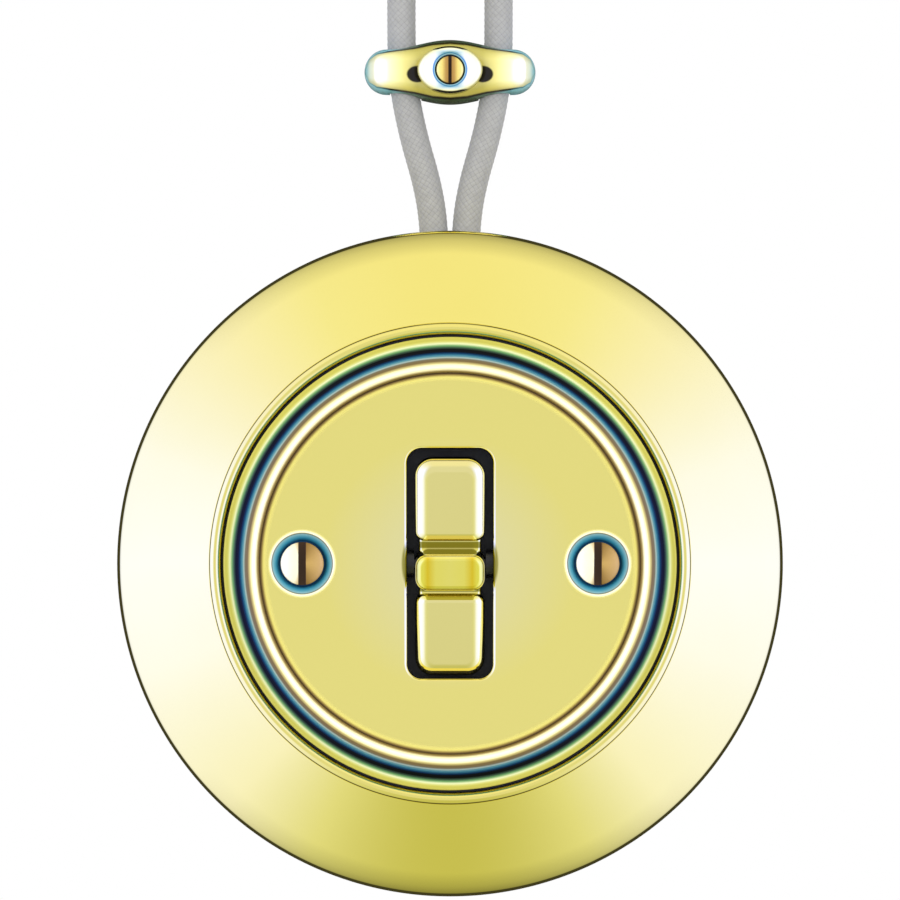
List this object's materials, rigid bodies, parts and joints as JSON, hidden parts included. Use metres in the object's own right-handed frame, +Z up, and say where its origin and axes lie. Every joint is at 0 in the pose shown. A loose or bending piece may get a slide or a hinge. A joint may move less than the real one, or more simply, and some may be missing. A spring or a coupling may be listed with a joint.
{
  "type": "toggle wall switch",
  "caption": "Round polished brass surface-mounted toggle switch with a see-saw contact mechanism, braided cords, a cable bridge and a wall rosette.",
  "frame": {"origin": "centre of the housing's round back face, on the wall plane", "axes": "+Y into the wall, -Y out of the front face, +Z up towards the cords, +X to the viewer's right"},
  "size_m": [0.1, 0.0409, 0.1724],
  "materials": {
    "polished_brass": "mirror polished",
    "plain_brass": "as machined",
    "zinc_steel": "zinc plated",
    "spring_steel": "rolled",
    "blackened_steel": "blackened",
    "contact_silver": "bright",
    "base_ceramic": "white glaze",
    "black_rubber": "matt",
    "black_moulding": "moulded",
    "nylon": "natural",
    "grey_braid": "fine diagonal braid",
    "brown_insulation": "smooth",
    "blue_insulation": "smooth",
    "green_insulation": "smooth"
  },
  "bodies": {
    "switch": {"housing": "polished_brass", "cover_plate": "polished_brass", "cover_gasket": "black_rubber", "cover_screw_left": "polished_brass", "cover_screw_right": "polished_brass", "mounting_base": "base_ceramic", "pillars": "zinc_steel", "pillar_screws": "zinc_steel", "support_yoke": "spring_steel", "yoke_screws": "zinc_steel", "mechanism_body": "black_moulding", "mechanism_screws": "zinc_steel", "toggle_pin": "blackened_steel", "fulcrum_post": "plain_brass", "fulcrum_pin": "spring_steel", "fixed_contact_bar": "plain_brass", "fixed_contact": "contact_silver", "line_terminal": "plain_brass", "load_terminal": "plain_brass", "terminal_screws": "plain_brass", "line_conductor": "brown_insulation", "load_conductor": "blue_insulation", "earth_terminal": "plain_brass", "earth_screw": "plain_brass", "earth_conductor_left": "green_insulation", "earth_conductor_right": "green_insulation", "cord_left": "grey_braid", "cord_right": "grey_braid", "cable_grommet": "black_rubber", "cord_clamp": "spring_steel", "cord_clamp_screws": "zinc_steel", "cable_bridge": "polished_brass", "bridge_screw": "polished_brass", "wall_rosette": "polished_brass", "rosette_plate": "zinc_steel", "rosette_screw": "polished_brass"},
    "rocker": {"toggle": "polished_brass", "rocker_core": "black_moulding", "core_screws": "zinc_steel"},
    "plunger_body": {"plunger": "nylon", "plunger_spring": "spring_steel"},
    "seesaw": {"contact_blade": "plain_brass", "moving_contact": "contact_silver"}
  },
  "joints": [
    {"name": "toggle_throw", "type": "hinge", "parent": "switch", "child": "rocker", "pos_m": [0, -0.0313, 0], "axis": [-1, 0, 0], "range_deg": [0, 18]},
    {"name": "plunger_slide", "type": "slide", "parent": "rocker", "child": "plunger_body", "axis": [0, -0.9877, -0.1564], "range_m": [0, 0.0012], "stiffness_N_per_m": 600, "deforming": ["plunger_spring"]},
    {"name": "seesaw_tilt", "type": "hinge", "parent": "switch", "child": "seesaw", "pos_m": [0, -0.01725, 0], "axis": [-1, 0, 0], "range_deg": [-14.1, 0]}
  ],
  "couplings": [
    {"joint": "seesaw_tilt", "follows": "toggle_throw", "ratio": -0.77778}
  ]
}
